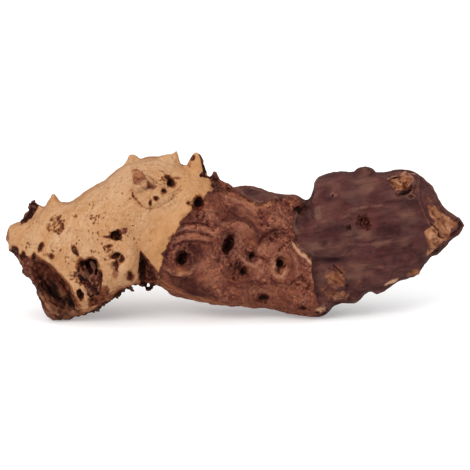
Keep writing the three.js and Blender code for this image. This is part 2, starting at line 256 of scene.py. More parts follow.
# Open knots and rotted holes of the front: (u, v, wide, tall, turn, halo of stained wood round it)
HOLES = [
    (-119.5, 51.6, 3.4, 8.5, -30, 1.2), (-115.5, 42, 5, 7, 0, 3), (-108, 42, 8, 7.5, 20, 3),
    (-112, 38, 8, 5, -20, 3), (-101.6, 29, 3.6, 14, 5, 2), (-116.2, 19.5, 4.4, 7.5, -12, 1.5),
    (-107, 14, 4, 4, 0, 3), (-90.4, 64.6, 5.4, 5.2, 20, 1.5), (-88.2, 61.6, 5.2, 4.6, -15, 1.5),
    (-93, 62.4, 3.8, 2.6, 0, 1.2), (-87.4, 66.6, 3.6, 2.6, 30, 1), (-95.4, 62.2, 4, 1.6, 10, 1),
    (-89, 48.2, 6.5, 3.6, -25, 1.5), (-88.5, 40.5, 3, 7, -10, 1.5), (-84.6, 46, 2.4, 4.6, 15, 1.2),
    (-63.7, 88.1, 1.9, 3.4, 0, 1), (-59.4, 91.3, 2.8, 2.4, 30, 1.2), (-53.8, 96.3, 3.8, 3.8, 30, 1.2),
    (-48, 102.8, 5, 5.4, 20, 2.5), (-51, 106.6, 3.2, 2.4, 0, 1.2), (-31.9, 121.9, 3, 3.6, 0, 1.2),
    (-27.5, 88, 5.8, 8, 0, 3), (-35.6, 88, 1.4, 1.8, 0, 1), (-39.6, 44.6, 4.6, 5.6, 0, 3),
    (-4.8, 56.5, 4.4, 10.5, 18, 4), (12, 47.5, 3.4, 5.4, 0, 1.5), (6.2, 36.2, 5, 4.6, 0, 2),
    (33.5, 42.2, 5.6, 5.4, 25, 1), (32.5, 37, 1.6, 3, 0, 1), (20.8, 16.3, 6.5, 4.4, -20, 1.5),
    (48.4, 81.7, 6, 7, 0, 2), (51, 9.4, 4, 2.2, 0, 1.5), (73.3, 92.2, 2, 2.4, 0, 0.8),
    (85.1, 69.4, 2.8, 4.2, 20, 1), (95.4, 75.4, 3, 3.6, 20, 2), (98.8, 72.6, 2.6, 3.4, -20, 2),
    (98.4, 76.6, 2.2, 2, 0, 1.5), (95, 72, 1.8, 2, 0, 1.5), (120.5, 106.6, 6.4, 1.2, -13, 0.6),
    (131.7, 110.6, 5, 1.3, 5, 0.6), (128, 96, 12, 3.6, -28, 1), (131.6, 92.8, 1.8, 1.2, 0, 0.6),
    (-145.6, 54.8, 2.4, 6.6, 20, 1.5), (-137.8, 47.5, 2.6, 2.8, 0, 1.5), (-150.6, 47.8, 2.2, 4.6, 0, 1.5),
    (-159.3, 48.5, 3, 4.6, 0, 1.5), (-94.4, 55.6, 3.4, 1.8, -10, 1.5), (62, 6.2, 2, 1.4, 0, 0.8),
    (66, 5.2, 2.4, 1.4, 0, 0.8),
]
# Clusters of burl pips: (u, v, reach, how many, pip width)
PIPS = [
    (-134, 70.8, 7, 44, 1.8), (-129.5, 71, 2.5, 10, 1.9), (-139.5, 69.5, 2.5, 6, 1.8),
    (-130, 77, 4, 6, 1.4), (-79, 34.6, 3.6, 18, 2.2), (-105, 76, 4.5, 12, 1.3), (-120.5, 77.3, 2, 5, 1.2),
    (-96, 55, 5, 12, 1.6), (97.5, 73.5, 6.5, 30, 1.8), (-57, 104, 3.5, 8, 1.0), (-49, 103, 5, 14, 1.8),
    (-88.5, 45, 4.5, 12, 1.8), (1, 34, 4, 9, 1.2), (-83, 88, 26, 18, 0.8), (-115, 66, 26, 30, 0.8),
    (-72, 66, 10, 18, 1.1), (-114, 33, 7, 26, 2.2), (-138, 48, 3.5, 8, 1.5), (-155, 55.8, 2.5, 6, 1.2),
    (-145.6, 55, 3.5, 8, 1.4), (-32.5, 87, 3.5, 9, 1.7), (-90, 62, 6, 12, 1.6), (-125.6, 45.5, 4, 8, 1.0),
    (42, 88, 4, 12, 1.6), (6, 37, 6, 10, 1.2), (12, 49, 5, 6, 1.2), (129, 96, 8, 14, 1.8),
    (21, 17, 5, 8, 1.3), (-76, 92, 3, 6, 1.1), (51, 9, 5, 9, 1.4), (24, 78, 8, 34, 1.2),
    (26, 63, 6, 22, 1.4), (0, 42, 5, 20, 1.4), (-28, 76, 8, 26, 1.4), (51, 26, 7, 30, 1.5),
    (-46, 60, 3, 8, 1.0), (125, 102, 7, 12, 1.3), (65, 7, 4, 10, 1.2), (-160, 48, 4, 8, 1.6),
    (-38, 52, 6, 12, 1.4), (-100, 72, 10, 26, 0.9), (-110, 58, 10, 26, 1.0), (-96, 48, 7, 22, 1.2),
    (-130, 52, 8, 14, 1.0), (-85, 76, 10, 14, 0.8), (-118, 45, 6, 14, 1.0),
]
# The back has its own pips, (x, z, reach, how many, pip width), and holes, (x, z, wide, tall, turn)
BACK_PIPS = [
    (-64, 60, 8, 30, 1.8), (-112, 60, 10, 40, 2), (-86, 92, 7, 24, 1.6), (-140, 58, 5, 16, 1.8),
    (-100, 74, 26, 40, 1.2), (-44, 96, 6, 16, 1.6), (-24, 40, 8, 26, 1.8), (20, 60, 8, 26, 1.8),
    (86, 60, 6, 14, 1.8),
]
BACK_HOLES = [
    (-52, 78, 20, 12, 40), (36, 36, 22, 9, -70), (-126, 48, 9, 16, 10), (96, 82, 16, 8, 60),
    (2, 78, 6, 6, 0), (-90, 38, 7, 10, 0), (66, 66, 5, 6, 0),
]
# How deep a hole and a pip are, against their width
HOLE_DEPTH = 0.32
PIP_DEPTH = 0.3
PIP_SEED = 8
pit = np.zeros(count)
deep_shade = np.zeros(count)
stain = np.zeros(count)
depth = np.zeros(count)
ragged = 2.2 * crumbs + 1.8 * grit
for across, up, wide, tall, turn, halo in HOLES:
    edge = spot(across, up, wide, tall, turn) * (wide + tall) / 4 + ragged * min(1, min(wide, tall) / 9)
    pit = np.maximum(pit, soft(edge, -0.7, 0.5))
    shallow = 1 - min(1, (min(wide, tall) / 6) ** 1.5)
    # The middle of a hole gets near-black painted shade, less where a hole in the sapwood is shallow
    deep_shade = np.maximum(deep_shade, (1 - sap) * soft(edge, -0.5, 1.5) + sap * (1 - shallow) * soft(edge, 0.1, 1.9))
    stain = np.maximum(stain, soft(edge, -halo - 0.7, 0.2))
    depth = np.maximum(depth, HOLE_DEPTH * min(wide, tall) * soft(edge, -0.5, 0.9))
for values in (pit, deep_shade, stain, depth):
    values *= front
rng = np.random.default_rng(PIP_SEED)
for clusters, on, side in ((PIPS, (u, v), front), (BACK_PIPS, (x, z), 1 - front)):
    for across, up, reach, many, wide in clusters:
        for _ in range(many):
            angle = rng.uniform(0, 2 * math.pi)
            out = reach * math.sqrt(rng.uniform(0, 1))
            size = wide * rng.uniform(0.5, 1.3)
            middle = (across + out * math.cos(angle), up + out * math.sin(angle))
            inside = spot(*middle, size, size * rng.uniform(0.6, 1.8), rng.uniform(-60, 60), on)
            stain = np.maximum(stain, side * rng.uniform(0.4, 1) * soft(inside, -0.9, 0.4))
            pit = np.maximum(pit, side * rng.uniform(0, 0.8) * soft(inside, -0.3, 0.7))
            depth = np.maximum(depth, side * PIP_DEPTH * size * soft(inside, -0.4, 0.6))
for across, up, wide, tall, turn in BACK_HOLES:
    edge = spot(across, up, wide, tall, turn, (x, z)) * (wide + tall) / 4 + ragged
    pit = np.maximum(pit, (1 - front) * soft(edge, -0.7, 1.5))
    deep_shade = np.maximum(deep_shade, (1 - front) * soft(edge, 0.5, 4))
    stain = np.maximum(stain, (1 - front) * soft(edge, -4, 0.2))

patchy = 0.5 * crumbs + 0.5 * lumps


def crumbled(near, uneven, low, high):
    """A stroke or outline with an uneven edge that stays within its own reach."""
    return np.minimum(1, 5 * near) * soft(near + uneven * crumbs, low, high)


def painted(patches=(), strokes=(), outlines=()):
    """A mark made up of ellipses, strokes and outlines on the sheet, each with its own strength."""
    total = np.zeros(count)
    for across, up, wide, tall, turn, strength in patches:
        inside = spot(across, up, wide, tall, turn) + patchy
        total = np.maximum(total, strength * soft(inside, -0.35, 0.6))
    for points, half_width, strength in strokes:
        total = np.maximum(total, strength * crumbled(near_line(points, half_width), 0.4, 0.1, 0.7))
    for points, blur, strength in outlines:
        total = np.maximum(total, strength * crumbled(within(points, blur), 0.4, 0.1, 0.9))
    return front * total


def washed(patches, strokes=()):
    """A soft mark made up of ellipses and strokes on the sheet that fade out towards their edges."""
    total = np.zeros(count)
    for across, up, wide, tall, turn, strength in patches:
        inside = spot(across, up, wide, tall, turn) + 0.3 * patchy
        total = np.maximum(total, strength * soft(inside, -0.4, 0.9))
    for points, half_width, strength in strokes:
        total = np.maximum(total, strength * crumbled(near_line(points, half_width), 0.25, 0, 0.9))
    return front * total


# Places on the pale block that are bare of sapwood, some of them painted shade below the spur and along the
# knob: patches are (u, v, wide, tall, turn, strength), strokes are (points, half width, strength) and
# outlines are (points, blur, strength)
NOTCH = [(-70.5, 52), (-66, 46), (-61.5, 41), (-57, 35), (-58, 28), (-68, 27), (-72.5, 31), (-72.5, 38)]
CRUST = [
    (-160.5, 71.5), (-160, 79), (-155.5, 81.5), (-155.5, 86), (-151.5, 92), (-146.5, 91.5), (-147, 86),
    (-149.5, 81), (-152, 77), (-156, 73.5), (-158.5, 71.8),
]
CRATER = [
    (-118.5, 36), (-116.5, 43.5), (-109.5, 46.5), (-105, 40.5), (-101, 35.5), (-99.5, 28), (-101.5, 20.5),
    (-107.5, 16), (-111, 19), (-112, 24), (-115, 28),
]
PLATE = [(-86, 68.5), (-80.5, 69.3), (-80, 65.5), (-84, 63.7), (-86.2, 65)]
# Painted shadow below and to the right of the spur
SPUR_SHADE = [(-67.5, 103.7), (-65, 105), (-62.5, 102), (-58.7, 99.4), (-60, 97), (-63.7, 97), (-67, 100.6)]
UNDER_EDGE = [(-114, 3), (-106, 6.5), (-98, 12), (-90, 17.5), (-84, 22), (-76, 25.5), (-68, 27)]
RIM_EDGE = [(-158, 46.5), (-149, 48.5), (-139, 41.5), (-131, 34.5), (-124, 26), (-118, 13.5), (-114, 5)]
# Painted shade along the right edge of the knob
KNOB_SHADED_EDGE = [(-26.3, 125), (-24, 117), (-22.5, 111), (-25.5, 108)]
bare_and_shaded = painted(
    [
        (-164.5, 52, 7, 8, 0, 1), (-79, 34.6, 8, 9, 0, 0.9), (-85, 45.5, 4, 7, 15, 0.9),
        (-104.5, 15, 11, 13, -20, 1), (-171, 64, 4, 16, 0, 0.7), (-98, 14, 20, 6, -38, 0.9),
        (-99, 20, 8, 14, 0, 0.8), (-43.5, 106.5, 10, 3, 0, 0.8), (-90, 35, 5, 8, 0, 0.7),
    ],
    [(UNDER_EDGE, 3.6, 1), (KNOB_SHADED_EDGE, 2.2, 1), (RIM_EDGE, 0.9, 0.9)],
    [(NOTCH, 1, 1), (CRUST, 0.8, 1), (CRATER, 2.2, 1), (PLATE, 0.7, 1), (SPUR_SHADE, 1.4, 0.85)],
)
sap *= 1 - bare_and_shaded
# The broken rim over the foot gets none of the painted outline shade, up to its edge
outline_shade *= 1 - front * soft(near_line(RIM_EDGE, 9), 0, 0.4)

# Orange-brown wood: the broken spur, the edge of the pale layer and torn spots, and painted shade in the
# crease above the notch
SPUR = [(-77, 112.5), (-73.7, 113.5), (-70.6, 111), (-66.8, 105), (-71, 102), (-75, 102.5), (-76.4, 107.5)]
tan_and_crease_shade = painted(
    [
        (-43.5, 106.5, 9, 3, 0, 0.7), (-90.5, 34, 4, 5, 0, 0.7), (-106, 15, 10, 12, 0, 0.8),
        (-138, 48, 7, 5, 0, 0.4), (-33.7, 116.3, 2.4, 6, 15, 0.7), (-33, 86.8, 5, 4, 0, 0.9),
        (-42, 37.5, 11, 6, 10, 0.7), (13.5, 57.5, 6.5, 6, 0, 0.8), (42, 88, 7, 7, 0, 0.7),
        (33, 36.5, 4, 5, 0, 0.9), (135, 36.5, 12, 4.5, -25, 0.7), (91, 28.5, 7, 7, 0, 0.25),
        (76, 30, 16, 20, 10, 0.5), (77, 19, 17, 9, 0, 0.45), (73, 24, 14, 20, 10, 0.4),
        (-99, 20, 8, 14, 0, 0.6), (-79, 52, 9, 14, 0, 0.2), (147, 90, 5, 9, 0, 0.4),
        (-117, 12, 7, 15, -22, 0.55), (-56, 101, 26, 15, 28, 0.28),
    ],
    [
        ([(-57, 29), (-45, 21.5), (-28, 15.5), (-8, 11.5), (10, 10)], 3, 0.55),
        ([(-6, 93), (2, 92), (9, 87.5), (17, 83.5), (27, 86.5)], 2.4, 0.5), (RIM_EDGE, 1.6, 0.8),
        # The stroke up from the notch paints shade in the crease there
        (UNDER_EDGE, 8, 0.75), ([(-70.5, 51), (-73, 57), (-78, 66)], 2.6, 0.3),
        ([(-77.5, 96.2), (-77, 93.7), (-74.4, 90.6), (-70, 86)], 1.2, 0.9),
        ([(-70, 85), (-65.6, 83.4), (-60, 83.4), (-55, 85.6), (-50, 88.7), (-46, 92)], 0.9, 0.8),
        ([(-49.4, 94.4), (-43.7, 97), (-40.6, 100.6)], 0.9, 0.8), ([(-57, 112), (-53, 110)], 0.8, 0.6),
    ],
    [(SPUR, 0.8, 1.0), (PLATE, 0.7, 0.25)],
)

# Pale wood laid bare on ridges, splinters and broken rims, and the painted highlight of the lit rim
# Painted highlight along the broken edge of the knotted layer over the dark end, where it faces up and to the
# right
LIT_RIM = [
    (42.3, 59.5), (44.5, 57), (49, 51), (53.5, 48), (56.2, 44.5), (57, 41), (55.3, 42), (53, 45.7),
    (48, 48.7), (43.5, 54.5),
]
pale_and_lit = painted(
    [
        (116.5, 28.8, 12, 2.6, -26, 0.95), (64.5, 8, 8, 6, 0, 0.8), (52, 12, 4, 7, 0, 0.3),
        (-14.5, 99.5, 4, 2, 0, 0.4), (-10, 102.5, 3, 1.6, 30, 0.5), (-16.5, 104, 2, 2, 0, 0.4),
    ],
    [
        ([(-44.4, 65.6), (-37, 69.2), (-27.5, 70.3), (-20, 67.3), (-15.5, 64.2)], 1.2, 0.15),
        ([(-52.5, 38), (-46, 34), (-37, 33.2), (-32, 36)], 0.8, 0.3),
        ([(5, 47), (9, 43), (15, 40.4)], 0.9, 0.45), ([(-26, 56), (-21, 52), (-17, 46)], 1.0, 0.2),
        ([(-116, 26), (-113, 22), (-112, 17)], 1.2, 0.85),
        ([(29.6, 43), (28.8, 38), (31, 33.7), (35, 32.7), (37.2, 36)], 1.2, 0.5),
        ([(-109.5, 51.5), (-105, 48.5), (-101, 45.6)], 0.9, 0.95),
        ([(-104, 48.5), (-98, 46), (-95, 45)], 0.7, 0.6), ([(-107, 55), (-105, 50)], 0.6, 0.6),
        ([(-92, 45.4), (-89, 44), (-86, 42.4)], 1.2, 1.0),
        ([(147.7, 69.7), (152.2, 65.2), (150, 60), (147.7, 52.5), (144.7, 48)], 1.2, 0.45),
        ([(-85, 26.5), (-76, 30), (-72, 35)], 0.9, 0.6),
        ([(85.5, 79.7), (91.5, 83.2), (97.5, 84.8)], 0.9, 0.1),
        ([(70.5, 18.7), (75, 16.5), (81, 16.5), (86.2, 20.2)], 0.8, 0.45),
        ([(73.5, 21.5), (76.5, 20.2), (81.7, 21.7)], 0.7, 0.35),
        ([(114.7, 105.7), (118.5, 106.9), (123.7, 108.3), (127.5, 111), (135, 109)], 0.9, 0.55),
        ([(130.5, 109.5), (133.9, 105.7), (131.2, 102), (129, 98.5)], 0.9, 0.5),
        ([(115.5, 105), (116.2, 101.2), (120, 97.7)], 0.9, 0.4),
        ([(117.7, 94.5), (123, 90.7)], 0.8, 0.25),
        ([(128.4, 92.6), (131.6, 90.2), (135, 92.6), (131.6, 95)], 0.8, 0.3),
        ([(71.2, 92.6), (73.3, 90), (75.7, 92.6), (73.3, 95), (71.2, 92.6)], 0.9, 0.45),
    ],
    [(LIT_RIM, 0.7, 0.7)],
)

# Dark wood: the crater, the lip of the foot, crusts, cracks, the black lobe and the tip of the torn end, and
# painted shade: the notch, darkest at its left wall, the shaded side and right edge of the spur, and the
# right edges of the knob and the left horn
# Painted shade on the spur's right half
SPUR_SHADED_SIDE = [(-73.7, 113.5), (-70.6, 111), (-66.8, 105), (-70, 102), (-72, 107)]
FOOT_LIP = [
    (-160, 46), (-159, 36), (-155, 30), (-149, 28), (-147, 33), (-141, 33), (-134, 27.5), (-129, 20),
    (-124, 23), (-128, 32), (-137, 40), (-149, 47.5),
]
BLACK_LOBE = [(158.5, 55), (153, 52.5), (148.5, 48), (153, 49), (159, 54)]
TIP = [(163, 74), (167, 74.5), (170, 71), (166, 66), (160, 59.5), (165, 62), (174, 71), (168, 78)]
# Painted shadow in the notch, darkest along its left wall
NOTCH_SHADOW_LEFT = [(-70.5, 51.5), (-68, 47), (-66.5, 40), (-66, 30), (-70, 27), (-72.5, 31), (-72.5, 38)]
CRACKS_AND_SHADE_LINES = [
    ([(-125, 33.5), (-117, 32.5)], 1.0, 0.7), ([(-123.5, 30.5), (-116, 30.5)], 0.9, 0.7),
    ([(-122, 36), (-117, 35)], 0.9, 0.6), ([(-120, 28), (-114.5, 27.5)], 0.8, 0.6),
    ([(73.5, 41.3), (80.3, 35.2)], 0.8, 0.9),
    ([(147, 72), (153, 66.7), (153.7, 62.2), (157.5, 60.7)], 0.9, 0.8),
    ([(0, 95.5), (9, 90), (18, 85.5), (27.5, 88.7), (39, 90.4)], 0.8, 0.5),
    ([(-77.5, 96.2), (-77, 93.7), (-74.4, 90.6)], 0.8, 0.6),
    ([(-49, 60), (-43, 63.7), (-35, 66.2), (-27.5, 65), (-20, 63), (-15, 62.5)], 0.8, 0.42),
    ([(-46, 57), (-40, 58.7), (-31, 60), (-22.5, 58.7), (-17, 57.5)], 0.8, 0.38),
    ([(-48, 52), (-42, 55.5), (-35, 57), (-28, 56)], 0.6, 0.4),
    ([(-47.5, 62.4), (-40, 66.6), (-31, 68.8), (-22, 66.6)], 0.6, 0.4),
    ([(-43, 69), (-33, 71.6), (-24, 70.4)], 0.6, 0.35), ([(-45, 59.5), (-36, 62.8), (-26, 62)], 0.6, 0.4),
    ([(-40, 72), (-27.5, 73), (-20, 71), (-16, 67)], 1.5, 0.55),
    ([(-52.5, 48), (-50.5, 56), (-46, 63), (-42, 70)], 0.8, 0.4),
    ([(-2.5, 73), (2.5, 75.4), (9.2, 73), (12.5, 68.7)], 0.8, 0.5),
    ([(18.3, 57), (20, 62), (25.8, 65.4), (33.3, 68.7)], 1.1, 0.5),
    ([(13.5, 48.2), (18, 47), (22.5, 46)], 1.6, 0.6), ([(37, 20), (41, 26), (46, 30)], 0.7, 0.4),
    ([(72, 24), (75, 21), (74, 18)], 0.7, 0.6), ([(83, 21), (85, 27), (81, 33)], 0.8, 0.45),
    ([(70.5, 39), (75, 37), (81, 35), (84, 30)], 0.8, 0.35),
    ([(70, 14), (76, 13), (83, 14), (86, 17)], 0.9, 0.5),
    ([(-131, 28), (-125, 19), (-119.5, 8)], 1.6, 0.9),
    # The first stroke is painted shade on the right edge of the left horn
    ([(-42.5, 126), (-41.4, 120), (-38.7, 116.5)], 0.9, 0.7), ([(-148, 88), (-143.4, 84)], 0.8, 0.7),
    ([(-23, 108), (-18, 106)], 1.3, 0.9), ([(-12, 41), (-8, 33), (3, 29)], 0.7, 0.4),
    ([(30, 26), (36, 24), (44, 30), (52, 28)], 0.7, 0.4), ([(5, 27), (14, 30), (24, 27)], 0.7, 0.35),
    ([(-5, 68), (-10, 74), (-4, 79)], 0.7, 0.4),
    # Along the broken spur: dark veins, and painted shade along its right edge and round its foot
    ([(-66.5, 106), (-64.5, 103), (-66, 99), (-70, 100.5)], 0.8, 0.5),
    ([(-74.3, 111), (-72.6, 107), (-71.5, 103)], 0.6, 0.45), ([(-70.3, 111), (-66.6, 105)], 0.9, 0.6),
    ([(-76, 102.3), (-71, 101.5), (-67, 104)], 0.7, 0.45), ([(-75.5, 107), (-73, 104.5)], 0.5, 0.35),
]
# A row of short cracks above the lit rim
CRACK_ROW_START = (32.5, 50.5)
CRACK_ROW_STEP = (1.7, 1.6)
CRACK_ROW_COUNT = 6
for step in range(CRACK_ROW_COUNT):
    across = CRACK_ROW_START[0] + step * CRACK_ROW_STEP[0]
    up = CRACK_ROW_START[1] + step * CRACK_ROW_STEP[1]
    CRACKS_AND_SHADE_LINES.append(([(across, up), (across + 0.8, up + 3)], 0.6, 0.7))
dark_wood_and_shade = painted(
    [
        (-39.6, 45, 8, 9, 0, 0.7), (-14, 104, 10, 15, -20, 0.75), (-7, 99, 10, 6, 30, 0.6),
        (-17, 101, 4, 4, 0, 0.95), (-164.5, 52, 6, 7, 0, 0.95), (-103, 13, 10, 7, -30, 0.5),
        (-64, 26, 14, 6, 0, 0.7), (84, 26, 3.5, 3, 0, 0.7), (48, 81.5, 9, 10, 0, 0.5),
        (-79, 34.6, 5, 5, 0, 0.3), (-99, 19, 9, 14, 0, 0.4),
    ],
    CRACKS_AND_SHADE_LINES + [(UNDER_EDGE, 2.8, 1), (KNOB_SHADED_EDGE, 2.0, 0.95)],
    [
        (CRATER, 2, 0.8), (FOOT_LIP, 2, 0.45), (SPUR_SHADED_SIDE, 1, 0.4), (SPUR, 1, 0.12), (NOTCH, 1, 0.5),
        (NOTCH_SHADOW_LEFT, 1.5, 0.95), (CRUST, 0.8, 0.9), (PLATE, 0.7, 0.2), (BLACK_LOBE, 0.8, 1.0),
        (TIP, 1, 0.8),
    ],
)
cracks = painted(strokes=CRACKS_AND_SHADE_LINES)

# Soft darker and lighter clouds in the wood, some of them painted shade and painted highlights, and the dark
# lens below the big knot
LENS = [(-53, 37), (-42, 34.5), (-31, 32.5), (-25, 22.5), (-9, 16.5), (-30, 18), (-46, 25)]
darker_clouds_and_shade = washed(
    [
        (-37, 46, 24, 20, 0, 1), (-31, 53, 24, 14, 15, 0.9), (-5, 57, 20, 30, 20, 1),
        (-4.6, 57, 12, 20, 20, 1.3), (-39, 46, 13, 13, 0, 1.2), (-10, 49, 16, 16, 0, 0.6),
        (-30.5, 75.5, 24, 11, 5, 0.7), (-1, 80.5, 28, 11, 5, 0.8), (0, 41, 14, 20, 0, 0.7),
        (12, 48, 13, 13, 0, 0.7), (6, 37, 13, 12, 0, 0.7), (26, 64, 20, 12, -30, 0.7),
        (33.5, 42.5, 13, 11, 0, 0.6), (48, 82, 16, 16, 0, 0.8), (21, 17, 14, 11, 0, 0.6),
        # (72, 45) is painted shadow under the bulge of the dark end
        (-38, 30, 32, 12, 12, 0.9), (-22, 22, 24, 8, 35, 0.8), (72, 45, 24, 8, 0, 0.9),
        (53, 72, 20, 34, 0, 0.35), (17, 62, 10, 12, 0, 0.5), (42, 60, 8, 14, 0, 0.35),
        (118, 68, 34, 9, 0, 0.35), (132, 87, 22, 7, 0, 0.4), (130, 45, 26, 13, 0, 0.45),
        (139, 46, 9, 22, -20, 0.6), (60, 97, 7, 20, 0, 0.5), (91, 17, 13, 13, 0, 0.5),
        (-30, 86, 12, 14, 0, 0.3), (75, 70, 22, 14, 0, 0.35), (108, 90, 30, 8, 0, 0.2),
        (-16, 60, 8, 10, 0, 0.3), (16, 27, 18, 8, 0, 0.3), (43, 40, 8, 16, 0, 0.25),
        (103, 40, 20, 8, -10, 0.35),
    ],
    [
        ([(-49, 61), (-38, 66.2), (-28, 66.5), (-19, 63.5)], 2.4, 0.85),
        ([(-47, 55), (-38, 59), (-28, 59), (-20, 57)], 2.4, 0.85),
        ([(-52, 48), (-49, 56), (-44, 64), (-38, 72)], 2.8, 0.7),
        ([(-14, 72), (-6, 76), (4, 77), (12, 73), (16, 66)], 3.2, 0.7),
        ([(18, 58), (22, 64), (30, 68), (37, 66)], 3, 0.8), ([(-18, 58), (-16, 50), (-12, 44)], 2.8, 0.6),
        ([(22, 34), (30, 28), (42, 27), (50, 33)], 2.4, 0.6),
        ([(-8, 36), (-4, 28), (6, 25), (16, 24)], 2.4, 0.5),
        # painted shade along the left edge of the dark end, where it steps back
        ([(44.5, 58), (44.5, 70), (46, 80), (51, 87)], 3, 0.7),
        ([(-34, 79), (-24, 81), (-14, 80), (-6, 84)], 2.6, 0.4),
        ([(40, 72), (34, 78), (26, 80)], 2.4, 0.5),
    ],
)
beside_sap = front * (1 - sap_front) * soft(sap_edge - u + 3 * crumbs, -7, -1) * soft(u, -70, -60)
darker_clouds_and_shade = np.maximum(darker_clouds_and_shade, 0.75 * beside_sap)
darker_clouds_and_shade = np.maximum(darker_clouds_and_shade, 0.85 * front * within(LENS, 1.6))
lighter_clouds_and_highlights = washed(
    [
        (-31, 67.5, 32, 7, 0, 0.6), (-30, 61.5, 26, 5, 0, 0.45), (26, 55, 15, 12, 0, 0.4),
        (-17, 33, 18, 20, 20, 0.35), (6, 69.5, 17, 10, 25, 0.55), (-2, 91, 16, 8, 20, 0.5),
        (38, 48, 10, 12, 0, 0.25), (48, 28, 12, 20, 0, 0.15), (20, 37, 16, 11, 0, 0.4),
        (30, 24, 20, 9, 0, 0.15), (15, 84, 22, 8, 0, 0.5), (33, 76, 16, 12, 0, 0.35),
        (20, 52, 10, 9, 0, 0.6), (-19, 79, 13, 11, 0, 0.5), (-24, 40, 14, 10, 30, 0.5),
        (12, 22, 16, 9, 0, 0.4), (-18, 50, 12, 10, 0, 0.3), (52, 14, 9, 10, 0, 0.3),
        (84, 63, 12, 7, 0, 0.6), (97.5, 63.7, 16, 8, 0, 0.6), (110, 57.7, 14, 8, 0, 0.6),
        # (64, 54.5) is a painted highlight on the bulge of the dark end
        (125.5, 55.5, 12, 10, 10, 0.7), (130, 79.5, 17, 11, 0, 0.7), (64, 54.5, 32, 12, -5, 0.6),
        (98, 103, 14, 28, 0, 0.35), (88, 37, 26, 14, -15, 0.45), (77, 27, 15, 24, 0, 0.5),
        (72, 100, 16, 10, 0, 0.25), (115, 84, 20, 7, 0, 0.3), (142, 92, 8, 16, -30, 0.3),
        (22, 97, 46, 14, 8, 0.55), (65, 30, 8, 26, 0, 0.3), (-128, 62, 22, 14, 0, 0.8),
        # (-85, 106) and (-62, 118) are painted highlights along the top of the pale block
        (-85, 106, 50, 26, -30, 0.7), (-45, 85, 16, 26, 25, 0.5), (-62, 118, 40, 14, 0, 0.6),
        (-150, 60, 14, 10, 0, 0.4),
    ],
    [
        ([(-45, 65.5), (-37, 69.2), (-27.5, 70.3), (-20, 67.3), (-15, 63.5)], 3, 0.65),
        ([(-47, 58), (-42, 60.5), (-33.7, 63), (-26, 62), (-20, 60)], 2.4, 0.55),
        ([(-47, 50), (-43, 54), (-36, 56.5)], 2, 0.6),
        ([(-54, 40), (-48, 36), (-40, 34), (-33, 37), (-29, 42)], 2.4, 0.8),
        ([(2, 66), (4, 61), (3, 54), (-2, 47)], 2.4, 0.6),
        ([(4, 48), (8, 43), (15, 40.4), (19, 44)], 2.4, 0.9),
        ([(28, 45), (27.5, 38), (30.5, 32.5), (36, 32), (39.5, 38)], 2.6, 0.9),
        ([(-6, 92), (8, 88), (18, 83)], 3, 0.7), ([(22, 68), (30, 72), (38, 72)], 2.4, 0.5),
        ([(42, 52), (46, 44), (48, 34)], 2.6, 0.5), ([(-13, 74), (-6, 70), (2, 73), (10, 70)], 2, 0.5),
        ([(12, 20), (20, 22.5), (28, 19)], 2, 0.5),
    ],
)

# Torn fibrous wood: the rotted inside of the foot, the torn right end and the pocket near the top
TORN_END = [
    (146, 86), (151.5, 86), (159, 80.5), (166.5, 75.3), (169.5, 72), (163.5, 68), (163, 60), (154, 55),
    (148, 49), (143.3, 48), (145, 56), (141.5, 66), (146.5, 70), (152, 73), (147.5, 78),
]
POCKET = [(115, 105), (121, 107.5), (127.5, 110.5), (133.7, 105.7), (131, 101), (127, 98), (120, 97.5)]
pocket = front * within(POCKET, 1)
foot = front * (1 - sap_front) * soft(-u, 104, 112) * soft(rim_height - v, -0.5, 1.5) * (1 - bare_and_shaded)
foot *= 1 - 0.85 * within(FOOT_LIP, 2)
torn = np.maximum(painted(outlines=[(TORN_END, 1.2, 0.85)]), 0.9 * pocket)
foot_black = washed([(-137, 22, 14, 24, -35, 1), (-124, 13, 8, 20, -30, 0.9), (-146, 33, 12, 6, 40, 0.6)])

# Thin dark roots under the arch and the two clearest twigs in the crater: (x, y, z) in millimetres
ROOTLETS = [
    [(-90, -16, 26), (-87, -18, 21.5), (-84, -20, 19)],
    [(-82, -14, 30), (-79, -17, 25), (-75, -19, 22)],
    [(-76, -12, 33), (-73, -15, 28), (-70, -12, 25)],
    [(-70, -14, 32), (-67.5, -17, 26), (-64.5, -18, 22.5), (-61, -17, 25), (-59, -14, 30)],
    [(-97, -14, 20), (-94, -17, 16), (-91, -18, 15)],
]
TWIGS = [
    [(-109, -26, 27), (-105, -38, 33), (-101, -44, 41)],
    [(-113, -30, 48), (-108, -40, 44), (-104, -40, 36)],
]
# The crater is rotted dark between its twigs, and its depths get near-black painted shade
rotted = painted(outlines=[(CRATER, 1.2, 1)])
pit = np.maximum(pit, 0.9 * rotted * soft(crumbs, -0.5, 0.15))
deep_shade = np.maximum(deep_shade, 0.9 * rotted * soft(crumbs + 0.5 * grit, 0, 0.35))
for path in ROOTLETS:
    thin_root = soft(near_path(path, 4), 0, 0.35)
    sap *= 1 - thin_root
    dark_wood_and_shade = np.maximum(dark_wood_and_shade, 0.9 * thin_root)
for path in TWIGS:
    twig = soft(near_path(path, 3.2), 0.05, 0.35)
    sap *= 1 - twig
    pit *= 1 - twig
    deep_shade *= 1 - twig
    stain *= 1 - 0.6 * twig
    dark_wood_and_shade *= 1 - 0.8 * twig

